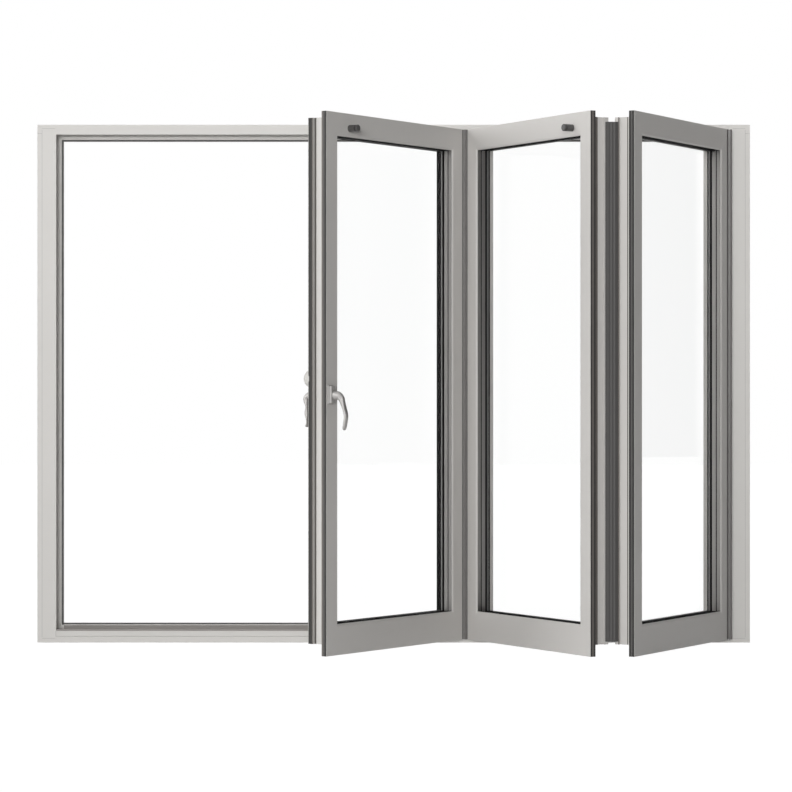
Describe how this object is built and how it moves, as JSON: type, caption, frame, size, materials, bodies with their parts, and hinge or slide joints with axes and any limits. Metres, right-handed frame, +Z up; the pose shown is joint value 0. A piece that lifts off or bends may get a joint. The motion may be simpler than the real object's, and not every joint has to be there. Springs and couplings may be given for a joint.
{
  "type": "aluminium folding door",
  "caption": "Glazed aluminium folding door, its leaves folded partly open in a slim fixed frame.",
  "frame": {"origin": "middle of the sill's underside", "axes": "+X to the right along the frame, +Y to the rear, away from the side the leaves fold towards, +Z up"},
  "size_m": [2.89, 0.9218, 2.1],
  "materials": {
    "frame_aluminium": "satin light grey powder coat",
    "leaf_aluminium": "satin light grey powder coat",
    "hinge_aluminium": "satin grey",
    "seal_rubber": "matt dark grey",
    "glazing_gasket": "matt black",
    "clear_glass": "clear",
    "satin_steel": "satin",
    "hinge_steel": "satin",
    "catch_plastic": "dark grey"
  },
  "bodies": {
    "door": {"bottom_carriage": "hinge_steel", "end_leaf_bead": "leaf_aluminium", "end_leaf_bottom_rail": "leaf_aluminium", "end_leaf_gaskets": "glazing_gasket", "end_leaf_glass": "clear_glass", "end_leaf_hinge_stile": "leaf_aluminium", "end_leaf_near_stile": "leaf_aluminium", "end_leaf_top_rail": "leaf_aluminium", "fold_hinges": "hinge_steel", "fold_seal": "seal_rubber", "frame_seal": "seal_rubber", "front_handle_plate": "satin_steel", "head": "frame_aluminium", "head_extension": "frame_aluminium", "head_guide": "frame_aluminium", "jamb_hinge": "hinge_aluminium", "left_extension": "frame_aluminium", "left_jamb": "frame_aluminium", "meeting_hinge": "hinge_aluminium", "middle_leaf_bead": "leaf_aluminium", "middle_leaf_bottom_rail": "leaf_aluminium", "middle_leaf_catch": "catch_plastic", "middle_leaf_gaskets": "glazing_gasket", "middle_leaf_glass": "clear_glass", "middle_leaf_hinge_stile": "leaf_aluminium", "middle_leaf_near_stile": "leaf_aluminium", "middle_leaf_top_rail": "leaf_aluminium", "rear_handle_plate": "satin_steel", "rear_knob": "satin_steel", "right_extension": "frame_aluminium", "right_jamb": "frame_aluminium", "sill": "frame_aluminium", "sill_rail": "hinge_steel", "top_carriage": "hinge_steel", "traffic_leaf_bead": "leaf_aluminium", "traffic_leaf_bottom_rail": "leaf_aluminium", "traffic_leaf_catch": "catch_plastic", "traffic_leaf_gaskets": "glazing_gasket", "traffic_leaf_glass": "clear_glass", "traffic_leaf_hinge_stile": "leaf_aluminium", "traffic_leaf_near_stile": "leaf_aluminium", "traffic_leaf_top_rail": "leaf_aluminium"},
    "handle_set": {"front_lever": "satin_steel", "rear_lever": "satin_steel", "handle_spindle": "hinge_steel"}
  },
  "joints": [
    {"name": "handle_turn", "type": "hinge", "parent": "door", "child": "handle_set", "pos_m": [-0.24256, -0.82664, 1], "axis": [0.8221, -0.5693, 0], "range_deg": [0, 90]}
  ]
}
